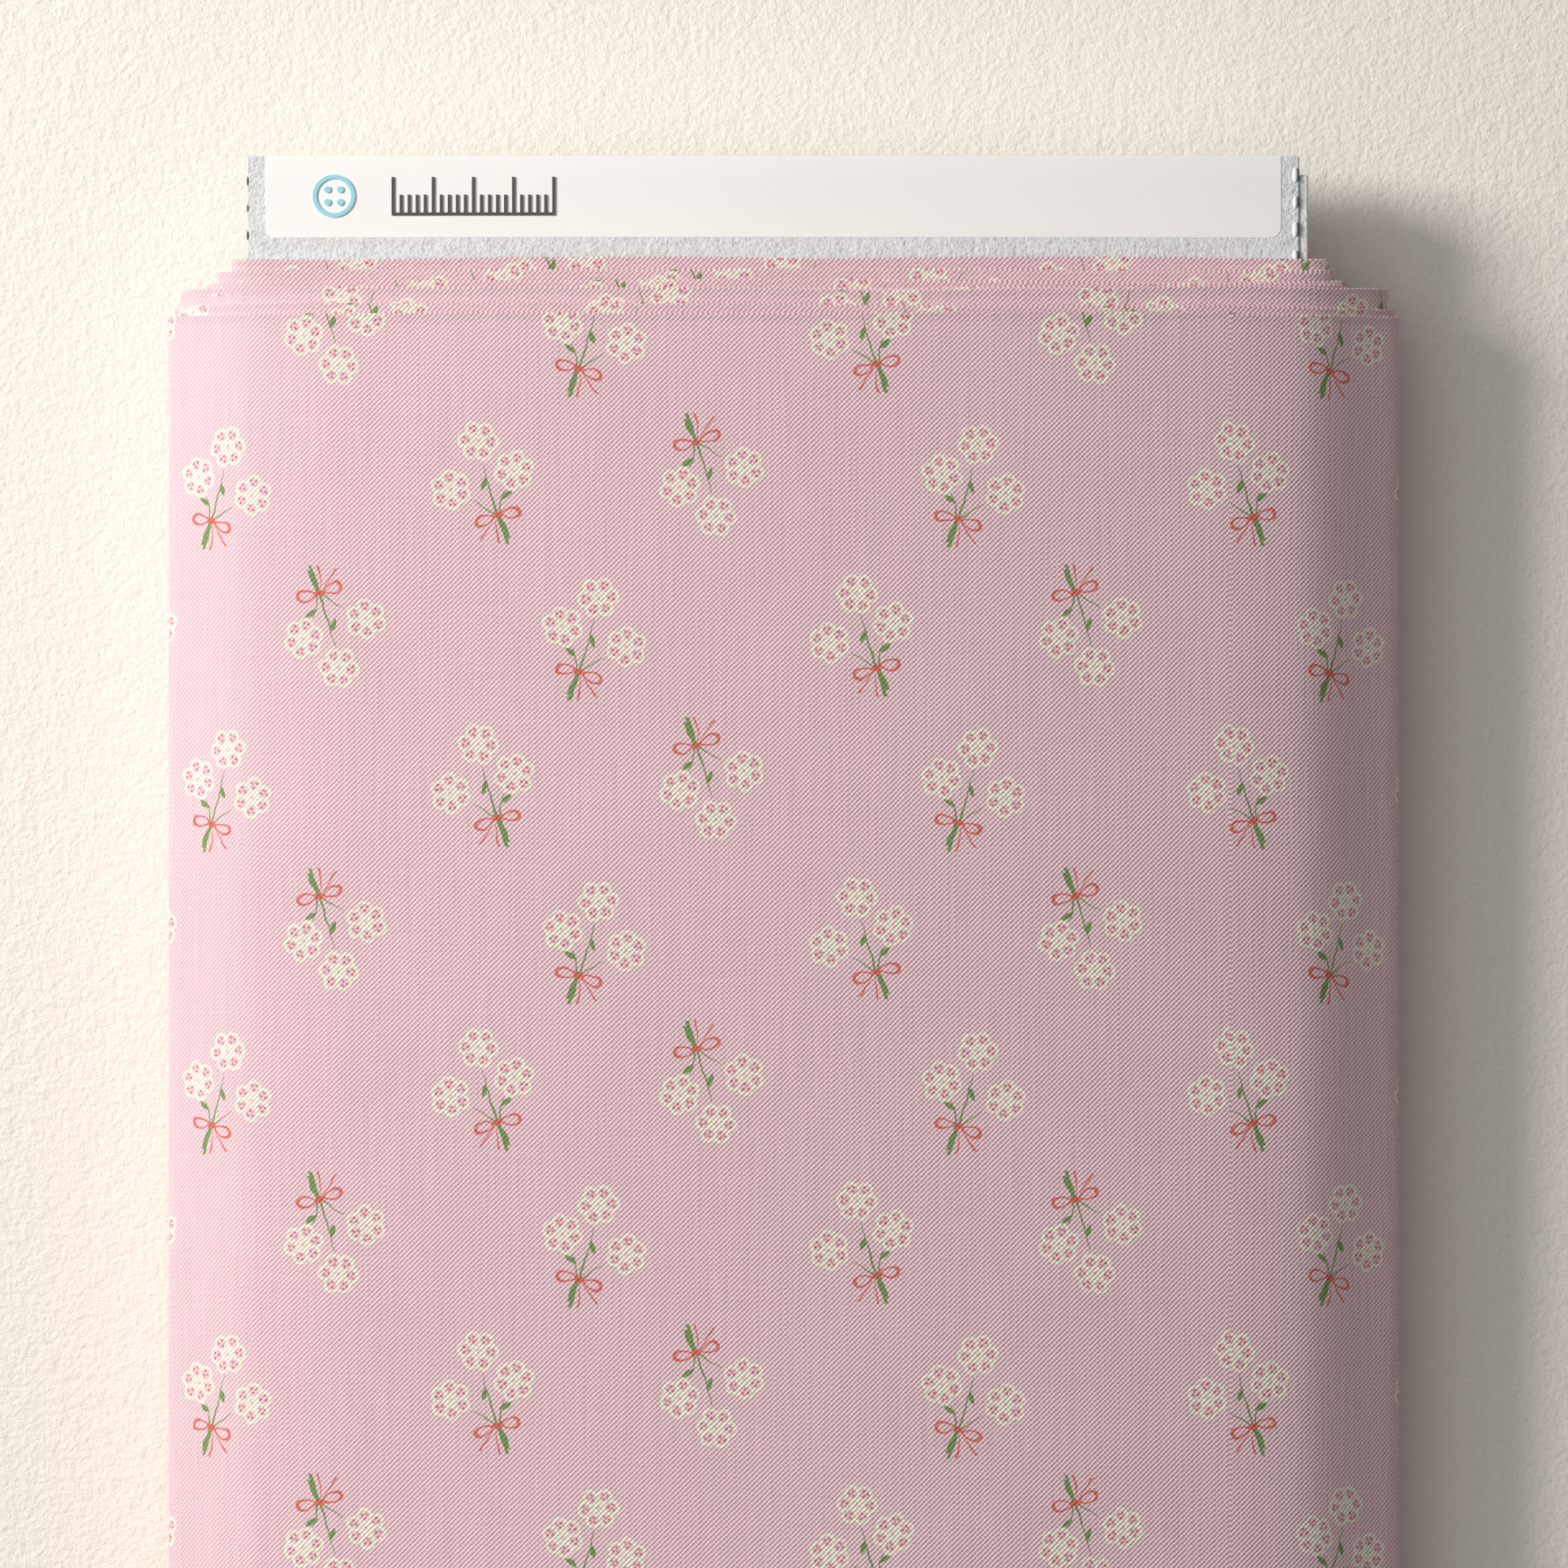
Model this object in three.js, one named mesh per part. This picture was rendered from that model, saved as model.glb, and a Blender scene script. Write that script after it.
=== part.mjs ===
// Fabric bolt: a folded paperboard core wound with doubled cotton, lying on its back.
// Millimetres, +Z up. X runs across the bolt and +Y towards its label end. The origin is under
// the bolt's centre, on the surface that it lies on.

import * as THREE from 'three';

// Board: one sheet of board, creased and folded into a flat box that the cloth is wound on.
const BOARD_LENGTH = 597;
const BOARD_DEPTH = 12;
const BOARD_LEFT = -97;
const BOARD_RIGHT = 93;
const BOARD_THICKNESS = 1.2;
const EDGE_PROUD = 1.6; // how far the right edge stands out of the front and back panels
const EDGE_SETBACK = 3.4; // how far that edge stops short of both ends
const FIT_GAP = 0.3; // clearance between neighbouring pieces

// Inside the board
const LAP_WIDTH = 150; // glued second layer under the front panel
const LAP_END_MARGIN = 17;
const CHANNEL_WIDTH = 60;
const CHANNEL_END_MARGIN = 20;

// End closures
const TAB_LENGTH = 3.2;
const TAB_SWING_ROOM = 1.7; // keeps the tab clear of the front panel as the end opens
const CLOSURE_SIDE_MARGIN = 4;
const DUST_FLAP_REACH = 32;

// Label: folded round the board's +Y end
const LABEL_LEFT = -93.6;
const LABEL_RIGHT = 89.7;
const LABEL_LEAF = 14.8;
const LABEL_THICKNESS = 0.3;

// Tape that holds the start of the cloth to the back panel
const TAPE_WIDTH = 48;
const TAPE_LENGTH = 400;
const TAPE_THICKNESS = 0.15;

// Cloth: doubled width, wound in turns that have slid a little along the board
const BOLT_THICKNESS = 40;
const CLOTH_WIDTH = 565; // along the board, folded edge to selvage
const CORNER_START = 0.2; // corner radius right at the board
const SIDE_CORNER_X = 34; // outer turn's corner, across the bolt
const FRONT_CROWN = 0.6; // share of the front's build that is gone at the outer turn's sides
const SHOULDER_WIDTH = 10; // the front falls away faster over this width past the board's edge
const FRONT_SEGMENTS = 8;
const CORNER_SEGMENTS = 10;

// Each group of turns: its name, how far its outer turn reaches left and right, how much cloth
// lies on the board's faces under its outer surface, and where its folded edge ends.
const TURN_GROUPS = [
  { name: 'cloth_turns_1', left: -100.1, right: 98.6, build: 3.1, top: 279.9 },
  { name: 'cloth_turns_2', left: -103.4, right: 99.5, build: 5.4, top: 277.6 },
  { name: 'cloth_turns_3', left: -104.3, right: 102.8, build: 6.9, top: 275.6 },
  { name: 'cloth_turns_4', left: -109.4, right: 109.5, build: 12.2, top: 274.4 },
  { name: 'cloth_turns_5', left: -110.5, right: 110.4, build: 13.1, top: 271.2 },
];
const OUTER_TURN = { left: -111.3, right: 111.3, build: 14, top: 269.8 };

// Loose end: the last stretch of the outer turn, from the right shoulder to below the side
const TAIL_START = THREE.MathUtils.degToRad(85);
const TAIL_END = THREE.MathUtils.degToRad(-25);
const TAIL_SEGMENTS = 20;

const CENTRE_Z = BOLT_THICKNESS / 2;
const BOARD_END = BOARD_LENGTH / 2;
const FRONT = CENTRE_Z + BOARD_DEPTH / 2;
const BACK = CENTRE_Z - BOARD_DEPTH / 2;
const INNER_FRONT = FRONT - BOARD_THICKNESS;
const INNER_BACK = BACK + BOARD_THICKNESS;
const EDGE_RIGHT = BOARD_RIGHT + EDGE_PROUD;
const BOARD_CENTRE_X = (BOARD_LEFT + BOARD_RIGHT) / 2;
const FULL_BUILD = OUTER_TURN.build;

const boardMaterial = new THREE.MeshStandardMaterial({
  color: 0xe9eaeb,
  roughness: 0.9,
  metalness: 0,
});
const labelMaterial = new THREE.MeshStandardMaterial({
  color: 0xf6f3ef,
  roughness: 0.55,
  metalness: 0,
});
const tapeMaterial = new THREE.MeshStandardMaterial({
  color: 0xe6d9b8,
  roughness: 0.35,
  metalness: 0,
});
const clothMaterial = new THREE.MeshStandardMaterial({
  color: 0xe6bcc3,
  roughness: 0.95,
  metalness: 0,
});

// A box between two corners, low and high, as [x, y, z].
function plate(name, low, high, material) {
  const size = high.map((value, axis) => value - low[axis]);
  const mesh = new THREE.Mesh(new THREE.BoxGeometry(...size), material);
  mesh.name = name;
  mesh.position.set(...high.map((value, axis) => (value + low[axis]) / 2));
  return mesh;
}

// A section in X and Z, extruded along Y from high down to low.
function alongBoard(name, shape, low, high, material) {
  const geometry = new THREE.ExtrudeGeometry(shape, {
    depth: high - low,
    bevelEnabled: false,
    curveSegments: CORNER_SEGMENTS,
  });
  const mesh = new THREE.Mesh(geometry, material);
  mesh.name = name;
  mesh.rotation.x = Math.PI / 2;
  mesh.position.y = high;
  return mesh;
}

// The outline of a turn: its reach to each side, its half thickness and its elliptic corners.
function turnOutline(left, right, build) {
  const share = build / FULL_BUILD;
  return {
    left,
    right,
    halfThickness: BOARD_DEPTH / 2 + build,
    cornerX: THREE.MathUtils.lerp(CORNER_START, SIDE_CORNER_X, share),
    cornerZ: THREE.MathUtils.lerp(CORNER_START, CENTRE_Z, share),
  };
}

// A point of a turn with a flat front, moved down to where the crowned front is. Every turn is
// crowned by this one rule, so turns that lie one over the other stay apart.
function crowned(x, z) {
  const past = Math.max(x - EDGE_RIGHT, BOARD_LEFT - x) - FIT_GAP;
  const shoulder = THREE.MathUtils.smoothstep(past, 0, SHOULDER_WIDTH);
  const foot = THREE.MathUtils.lerp(FRONT, CENTRE_Z, shoulder);
  const share = FRONT_CROWN * (x / OUTER_TURN.right) ** 2;
  return new THREE.Vector2(x, z - share * Math.max(z - foot, 0));
}

// A point on the round side of a turn: side +1 is the right, and angle 0 its widest point.
function onSide(outline, side, angle) {
  const { halfThickness, cornerX, cornerZ } = outline;
  const reach = side > 0 ? outline.right : outline.left;
  const straight = halfThickness - cornerZ;
  const x = reach - side * cornerX * (1 - Math.cos(angle));
  const z = CENTRE_Z + Math.sign(angle) * straight + cornerZ * Math.sin(angle);
  return crowned(x, z);
}

// The points of a turn's corner, from one angle to another, both ends included.
function corner(outline, side, from, to, segments) {
  const points = [];
  for (let step = 0; step <= segments; step += 1) {
    points.push(onSide(outline, side, THREE.MathUtils.lerp(from, to, step / segments)));
  }
  return points;
}

// The points of a turn's crowned front between its corners, from right to left.
function crownedFront(outline) {
  const right = outline.right - outline.cornerX;
  const left = outline.left + outline.cornerX;
  const points = [];
  for (let step = 1; step < FRONT_SEGMENTS; step += 1) {
    const x = THREE.MathUtils.lerp(right, left, step / FRONT_SEGMENTS);
    points.push(crowned(x, CENTRE_Z + outline.halfThickness));
  }
  return points;
}

// The whole closed outline of a turn, counterclockwise from its lower right corner.
function closedOutline(outline) {
  const quarter = Math.PI / 2;
  const widest = 1e-6; // keeps each corner on its own side of the straight stretch
  const points = [
    ...corner(outline, 1, -quarter, -widest, CORNER_SEGMENTS),
    ...corner(outline, 1, widest, quarter, CORNER_SEGMENTS),
    ...crownedFront(outline),
    ...corner(outline, -1, quarter, widest, CORNER_SEGMENTS),
    ...corner(outline, -1, -widest, -quarter, CORNER_SEGMENTS),
  ];
  return points.filter((point, index) => {
    const next = points[(index + 1) % points.length];
    return point.distanceTo(next) > 1e-3;
  });
}

// The inner outline of a group of turns: the outer outline of the group inside it, with a gap.
function outlineOver({ left, right, halfThickness, cornerX, cornerZ }) {
  return {
    left: left - FIT_GAP,
    right: right + FIT_GAP,
    halfThickness: halfThickness + FIT_GAP,
    cornerX: cornerX + FIT_GAP,
    cornerZ: cornerZ + FIT_GAP,
  };
}

function groupOutline({ left, right, build }) {
  return turnOutline(left, right, build);
}

function makeBoard() {
  const innerLeft = BOARD_LEFT + BOARD_THICKNESS;
  const edge = EDGE_RIGHT - BOARD_THICKNESS;
  const lapLow = INNER_FRONT - FIT_GAP - BOARD_THICKNESS;
  const lapEnd = BOARD_END - LAP_END_MARGIN;
  return [
    plate(
      'front_panel',
      [BOARD_LEFT, -BOARD_END, INNER_FRONT],
      [BOARD_RIGHT, BOARD_END, FRONT],
      boardMaterial,
    ),
    plate(
      'back_panel',
      [BOARD_LEFT, -BOARD_END, BACK],
      [BOARD_RIGHT, BOARD_END, INNER_BACK],
      boardMaterial,
    ),
    plate(
      'left_edge_panel',
      [BOARD_LEFT, -BOARD_END, INNER_BACK + FIT_GAP],
      [innerLeft, BOARD_END, INNER_FRONT - FIT_GAP],
      boardMaterial,
    ),
    plate(
      'right_edge_panel',
      [edge, -BOARD_END + EDGE_SETBACK, BACK + FIT_GAP],
      [EDGE_RIGHT, BOARD_END - EDGE_SETBACK, FRONT - FIT_GAP * 2],
      boardMaterial,
    ),
    plate(
      'inner_front_panel',
      [BOARD_RIGHT - LAP_WIDTH, -lapEnd, lapLow],
      [BOARD_RIGHT, lapEnd, lapLow + BOARD_THICKNESS],
      boardMaterial,
    ),
    makeStiffener(lapLow - FIT_GAP),
  ];
}

// A folded channel that keeps the board's two faces apart under the wound cloth.
function makeStiffener(high) {
  const half = CHANNEL_WIDTH / 2;
  const inside = half - BOARD_THICKNESS;
  const low = INNER_BACK + FIT_GAP;
  const shape = new THREE.Shape([
    new THREE.Vector2(BOARD_CENTRE_X - half, low),
    new THREE.Vector2(BOARD_CENTRE_X + half, low),
    new THREE.Vector2(BOARD_CENTRE_X + half, high),
    new THREE.Vector2(BOARD_CENTRE_X + inside, high),
    new THREE.Vector2(BOARD_CENTRE_X + inside, low + BOARD_THICKNESS),
    new THREE.Vector2(BOARD_CENTRE_X - inside, low + BOARD_THICKNESS),
    new THREE.Vector2(BOARD_CENTRE_X - inside, high),
    new THREE.Vector2(BOARD_CENTRE_X - half, high),
  ]);
  const end = BOARD_END - CHANNEL_END_MARGIN;
  return alongBoard('stiffener_channel', shape, -end, end, boardMaterial);
}

// One closed end of the board: the end flap, its tuck tab and two dust flaps behind it.
// The end is +1 for the label end and -1 for the foot end.
function makeClosure(prefix, end) {
  const outside = BOARD_END;
  const flapInside = outside - BOARD_THICKNESS;
  const dustOutside = flapInside - FIT_GAP;
  const tabHigh = INNER_FRONT - TAB_SWING_ROOM;
  const flapLow = INNER_BACK + FIT_GAP;
  const left = BOARD_LEFT + CLOSURE_SIDE_MARGIN;
  const right = BOARD_RIGHT - CLOSURE_SIDE_MARGIN;
  const dustLeft = BOARD_LEFT + BOARD_THICKNESS + FIT_GAP;
  const dustHigh = tabHigh - BOARD_THICKNESS - FIT_GAP;
  const between = (name, x, nearEnd, farEnd, z) => {
    const ys = [end * nearEnd, end * farEnd].sort((a, b) => a - b);
    const low = [x[0], ys[0], z[0]];
    const high = [x[1], ys[1], z[1]];
    return plate(`${prefix}_${name}`, low, high, boardMaterial);
  };
  const tabNear = flapInside - FIT_GAP - TAB_LENGTH;
  const dustDepth = [dustOutside - BOARD_THICKNESS, dustOutside];
  return [
    between('flap', [left, right], flapInside, outside, [flapLow, tabHigh]),
    between('tuck_tab', [left, right], tabNear, dustOutside, [tabHigh - BOARD_THICKNESS, tabHigh]),
    between('dust_flap_left', [dustLeft, dustLeft + DUST_FLAP_REACH], ...dustDepth, [
      flapLow,
      dustHigh,
    ]),
    between('dust_flap_right', [BOARD_RIGHT - DUST_FLAP_REACH, BOARD_RIGHT], ...dustDepth, [
      flapLow,
      dustHigh,
    ]),
  ];
}

// Paper label: one leaf on the front panel, a strip over the end and one leaf on the back panel.
function makeLabel() {
  const inner = FIT_GAP;
  const outer = FIT_GAP + LABEL_THICKNESS;
  const edge = BOARD_END - LABEL_LEAF;
  const shape = new THREE.Shape([
    new THREE.Vector2(edge, FRONT + inner),
    new THREE.Vector2(BOARD_END + inner, FRONT + inner),
    new THREE.Vector2(BOARD_END + inner, BACK - inner),
    new THREE.Vector2(edge, BACK - inner),
    new THREE.Vector2(edge, BACK - outer),
    new THREE.Vector2(BOARD_END + outer, BACK - outer),
    new THREE.Vector2(BOARD_END + outer, FRONT + outer),
    new THREE.Vector2(edge, FRONT + outer),
  ]);
  const geometry = new THREE.ExtrudeGeometry(shape, {
    depth: LABEL_RIGHT - LABEL_LEFT,
    bevelEnabled: false,
  });
  // The section is drawn in Y and Z, so its axes X, Y, Z become Y, Z, X.
  const turn = new THREE.Matrix4().makeBasis(
    new THREE.Vector3(0, 1, 0),
    new THREE.Vector3(0, 0, 1),
    new THREE.Vector3(1, 0, 0),
  );
  geometry.applyMatrix4(turn);
  const mesh = new THREE.Mesh(geometry, labelMaterial);
  mesh.name = 'label';
  mesh.position.x = LABEL_LEFT;
  return mesh;
}

function makeTape() {
  const high = BACK - (FIT_GAP - TAPE_THICKNESS) / 2;
  return plate(
    'start_tape',
    [BOARD_CENTRE_X - TAPE_WIDTH / 2, -TAPE_LENGTH / 2, high - TAPE_THICKNESS],
    [BOARD_CENTRE_X + TAPE_WIDTH / 2, TAPE_LENGTH / 2, high],
    tapeMaterial,
  );
}

// The inner groups of turns: closed rings, each round the one before.
function makeTurns() {
  let inside = turnOutline(BOARD_LEFT - FIT_GAP, EDGE_RIGHT + FIT_GAP, FIT_GAP);
  return TURN_GROUPS.map((group) => {
    const outline = groupOutline(group);
    const shape = new THREE.Shape(closedOutline(outline));
    shape.holes.push(new THREE.Path(closedOutline(inside)));
    inside = outlineOver(outline);
    return alongBoard(group.name, shape, group.top - CLOTH_WIDTH, group.top, clothMaterial);
  });
}

// The outer turn runs from under the right side, round the back, left side and front, to the
// right shoulder. The loose end carries on from there, down over the right side.
function makeOuterTurn() {
  const outer = groupOutline(OUTER_TURN);
  const inner = outlineOver(groupOutline(TURN_GROUPS[TURN_GROUPS.length - 1]));
  const quarter = Math.PI / 2;
  const seam = FIT_GAP / SIDE_CORNER_X;
  const open = (outline) => [
    ...corner(outline, 1, TAIL_START + seam, quarter, 2),
    ...crownedFront(outline),
    ...corner(outline, -1, quarter, 0, CORNER_SEGMENTS),
    ...corner(outline, -1, 0, -quarter, CORNER_SEGMENTS).slice(1),
    ...corner(outline, 1, -quarter, TAIL_END - seam, 4),
  ];
  const turn = new THREE.Shape([...open(outer), ...open(inner).reverse()]);
  const tail = new THREE.Shape([
    ...corner(outer, 1, TAIL_START, TAIL_END, TAIL_SEGMENTS),
    ...corner(inner, 1, TAIL_START, TAIL_END, TAIL_SEGMENTS).reverse(),
  ]);
  const low = OUTER_TURN.top - CLOTH_WIDTH;
  return [
    alongBoard('cloth_outer_turn', turn, low, OUTER_TURN.top, clothMaterial),
    alongBoard('cloth_tail', tail, low, OUTER_TURN.top, clothMaterial),
  ];
}

const bolt = new THREE.Group();
bolt.add(
  ...makeBoard(),
  ...makeClosure('label_end', 1),
  ...makeClosure('foot_end', -1),
  makeLabel(),
  makeTape(),
  ...makeTurns(),
  ...makeOuterTurn(),
);
// The label stands out of the +Y end, so the board sits half that nearer the foot end.
bolt.position.y = -(FIT_GAP + LABEL_THICKNESS) / 2;

export default bolt;
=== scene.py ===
"""A bolt of printed cotton: doubled cloth wound round a folded board, lying on its back.

Everything is in metres, in the row frame: X across the bolt, +Y towards the label end, +Z up.
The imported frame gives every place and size, and the classes below give each sub-assembly its
visible surface and its finish.
"""

import logging
import math
from dataclasses import dataclass, field, replace
from enum import Enum

import bmesh
import bpy
import numpy as np
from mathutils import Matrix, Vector


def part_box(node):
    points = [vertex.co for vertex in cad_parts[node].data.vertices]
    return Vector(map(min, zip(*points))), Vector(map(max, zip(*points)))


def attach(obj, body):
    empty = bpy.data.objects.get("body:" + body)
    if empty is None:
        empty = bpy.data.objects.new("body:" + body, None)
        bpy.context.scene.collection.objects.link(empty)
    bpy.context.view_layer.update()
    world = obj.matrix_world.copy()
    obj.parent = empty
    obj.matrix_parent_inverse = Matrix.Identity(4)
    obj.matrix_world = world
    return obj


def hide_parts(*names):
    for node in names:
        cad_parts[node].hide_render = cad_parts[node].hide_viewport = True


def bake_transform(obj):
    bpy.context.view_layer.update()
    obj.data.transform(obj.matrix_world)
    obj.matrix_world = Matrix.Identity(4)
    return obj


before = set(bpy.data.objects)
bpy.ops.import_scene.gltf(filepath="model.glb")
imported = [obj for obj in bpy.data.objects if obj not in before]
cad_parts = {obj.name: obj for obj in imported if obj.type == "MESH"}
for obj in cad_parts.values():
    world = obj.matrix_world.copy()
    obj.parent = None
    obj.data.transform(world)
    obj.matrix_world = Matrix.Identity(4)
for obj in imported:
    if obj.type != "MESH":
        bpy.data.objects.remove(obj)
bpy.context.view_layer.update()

MM = 0.001
ROOT = "root"
FOOT_CLOSURE = "foot_end_closure"

log = logging.getLogger("fabric_bolt")

Colour = tuple[float, float, float]
Socket = bpy.types.NodeSocket
Value = float | Socket


# ---------------------------------------------------------------- meshes


def new_object(name: str, mesh: bpy.types.Mesh) -> bpy.types.Object:
    """Puts a mesh into the scene as an object at the origin.

    Args:
        name: the object's name.
        mesh: its mesh, with its place in it.

    Returns:
        The new object.
    """
    piece = bpy.data.objects.new(name, mesh)
    bpy.context.scene.collection.objects.link(piece)
    return piece


def mesh_from(
    name: str, points: np.ndarray, faces: list[tuple[int, ...]], smooth: bool = True
) -> bpy.types.Mesh:
    """Makes a mesh of plain points and faces.

    Args:
        name: the mesh's name.
        points: an array of n by 3 places.
        faces: the corners of each face, counterclockwise from outside.
        smooth: whether the faces are shaded smooth.

    Returns:
        The new mesh.
    """
    mesh = bpy.data.meshes.new(name)
    mesh.from_pydata(points.tolist(), [], faces)
    mesh.polygons.foreach_set("use_smooth", [smooth] * len(mesh.polygons))
    mesh.update()
    return mesh


def grid_faces(columns: int, rows: int) -> list[tuple[int, int, int, int]]:
    """The faces of a grid whose point number is column * rows + row.

    Args:
        columns: how many columns of points.
        rows: how many points in a column.

    Returns:
        Four corners for each face.
    """
    faces = []
    for column in range(columns - 1):
        for row in range(rows - 1):
            corner = column * rows + row
            faces.append((corner, corner + 1, corner + rows + 1, corner + rows))
    return faces


def thicken(
    piece: bpy.types.Object, name: str, thickness: float, side: float
) -> bpy.types.Modifier:
    """Gives a sheet a wall, outwards where side is 1 and inwards where it is -1."""
    wall = piece.modifiers.new(name, "SOLIDIFY")
    wall.thickness = thickness
    wall.offset = side
    return wall


def apply_modifiers(piece: bpy.types.Object) -> None:
    """Replaces an object's mesh by its evaluated one, and removes the modifiers."""
    graph = bpy.context.evaluated_depsgraph_get()
    graph.update()
    mesh = bpy.data.meshes.new_from_object(piece.evaluated_get(graph), depsgraph=graph)
    old = piece.data
    piece.modifiers.clear()
    piece.data = mesh
    bpy.data.meshes.remove(old)
    mesh.name = piece.name
    mesh.set_sharp_from_angle(angle=math.radians(40))


# ---------------------------------------------------------------- shader graphs


class Graph:
    """Adds shader nodes to one tree by plain calls, each of which returns an output socket."""

    def __init__(self, tree: bpy.types.NodeTree) -> None:
        """Takes the tree that the nodes go into."""
        self.tree = tree

    def node(self, kind: str, **settings: object) -> bpy.types.Node:
        """Adds a node of a kind, with its settings."""
        made = self.tree.nodes.new(kind)
        for name, value in settings.items():
            setattr(made, name, value)
        return made

    def feed(self, socket: Socket, value: Value | Colour) -> None:
        """Links a socket to an output, or sets its number."""
        if isinstance(value, bpy.types.NodeSocket):
            self.tree.links.new(value, socket)
        elif isinstance(value, tuple) and len(value) == 3 and socket.type == "RGBA":
            socket.default_value = (*value, 1.0)
        else:
            socket.default_value = value

    def math(self, operation: str, *values: Value) -> Socket:
        """One Math node on up to three values."""
        made = self.node("ShaderNodeMath", operation=operation)
        for socket, value in zip(made.inputs, values):
            self.feed(socket, value)
        return made.outputs[0]

    def add(self, *values: Value) -> Socket:
        """The sum of two or more values."""
        total = values[0]
        for value in values[1:]:
            total = self.math("ADD", total, value)
        return total

    def sub(self, a: Value, b: Value) -> Socket:
        """a minus b."""
        return self.math("SUBTRACT", a, b)

    def mul(self, *values: Value) -> Socket:
        """The product of two or more values."""
        product = values[0]
        for value in values[1:]:
            product = self.math("MULTIPLY", product, value)
        return product

    def highest(self, *values: Value) -> Socket:
        """The highest of two or more values."""
        top = values[0]
        for value in values[1:]:
            top = self.math("MAXIMUM", top, value)
        return top

    def length(self, x: Value, y: Value) -> Socket:
        """The length of a flat vector."""
        return self.math("SQRT", self.add(self.mul(x, x), self.mul(y, y)))

    def ramp(self, value: Value, low: float, high: float) -> Socket:
        """A smooth rise from 0 at low to 1 at high, or a fall where high is the lower one."""
        made = self.node("ShaderNodeMapRange", interpolation_type="SMOOTHSTEP")
        self.feed(made.inputs["Value"], value)
        if low <= high:
            made.inputs["From Min"].default_value = low
            made.inputs["From Max"].default_value = high
            return made.outputs["Result"]
        made.inputs["From Min"].default_value = high
        made.inputs["From Max"].default_value = low
        return self.sub(1.0, made.outputs["Result"])

    def pick(self, choice: Value, a: Value, b: Value) -> Socket:
        """a where choice is 0 and b where it is 1."""
        made = self.node("ShaderNodeMix", data_type="FLOAT")
        self.feed(made.inputs[0], choice)
        self.feed(made.inputs[2], a)
        self.feed(made.inputs[3], b)
        return made.outputs[0]

    def nearest(self, places: list[tuple[Socket, tuple[Value, ...]]]) -> tuple[Value, ...]:
        """The values that go with the least distance, of pairs of a distance and its values."""
        least, chosen = places[0]
        for far, values in places[1:]:
            nearer = self.math("LESS_THAN", far, least)
            chosen = tuple(self.pick(nearer, old, new) for old, new in zip(chosen, values))
            least = self.math("MINIMUM", far, least)
        return chosen

    def tint(self, share: Value, a: Socket | Colour, b: Socket | Colour) -> Socket:
        """A mix of two colours, b's share from 0 to 1."""
        made = self.node("ShaderNodeMix", data_type="RGBA")
        self.feed(made.inputs[0], share)
        self.feed(made.inputs[6], a)
        self.feed(made.inputs[7], b)
        return made.outputs[2]

    def shade(self, colour: Socket | Colour, factor: Value) -> Socket:
        """A colour made darker or lighter by a factor."""
        made = self.node("ShaderNodeVectorMath", operation="SCALE")
        self.feed(made.inputs[0], colour)
        self.feed(made.inputs["Scale"], factor)
        return made.outputs[0]

    def join(self, x: Value, y: Value, z: Value = 0.0) -> Socket:
        """A vector of three values."""
        made = self.node("ShaderNodeCombineXYZ")
        for socket, value in zip(made.inputs, (x, y, z)):
            self.feed(socket, value)
        return made.outputs[0]

    def split(self, vector: Socket) -> tuple[Socket, Socket, Socket]:
        """The three values of a vector."""
        made = self.node("ShaderNodeSeparateXYZ")
        self.feed(made.inputs[0], vector)
        return tuple(made.outputs)

    def noise(
        self, vector: Socket, scale: float, detail: float = 2.0, rough: float = 0.5
    ) -> Socket:
        """Smooth noise from 0 to 1 at a scale, in features to the metre or unit."""
        made = self.node("ShaderNodeTexNoise", noise_dimensions="3D")
        self.feed(made.inputs["Vector"], vector)
        made.inputs["Scale"].default_value = scale
        made.inputs["Detail"].default_value = detail
        made.inputs["Roughness"].default_value = rough
        return made.outputs["Fac"]

    def bump(self, height: Socket, distance: float, strength: float) -> Socket:
        """A normal bent by a height from 0 to 1 that stands for a distance."""
        made = self.node("ShaderNodeBump")
        made.inputs["Strength"].default_value = strength
        made.inputs["Distance"].default_value = distance
        self.feed(made.inputs["Height"], height)
        return made.outputs["Normal"]


class Place(Enum):
    """Where a material reads its pattern from."""

    OBJECT = "Object"
    CLOTH = "cloth"


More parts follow.
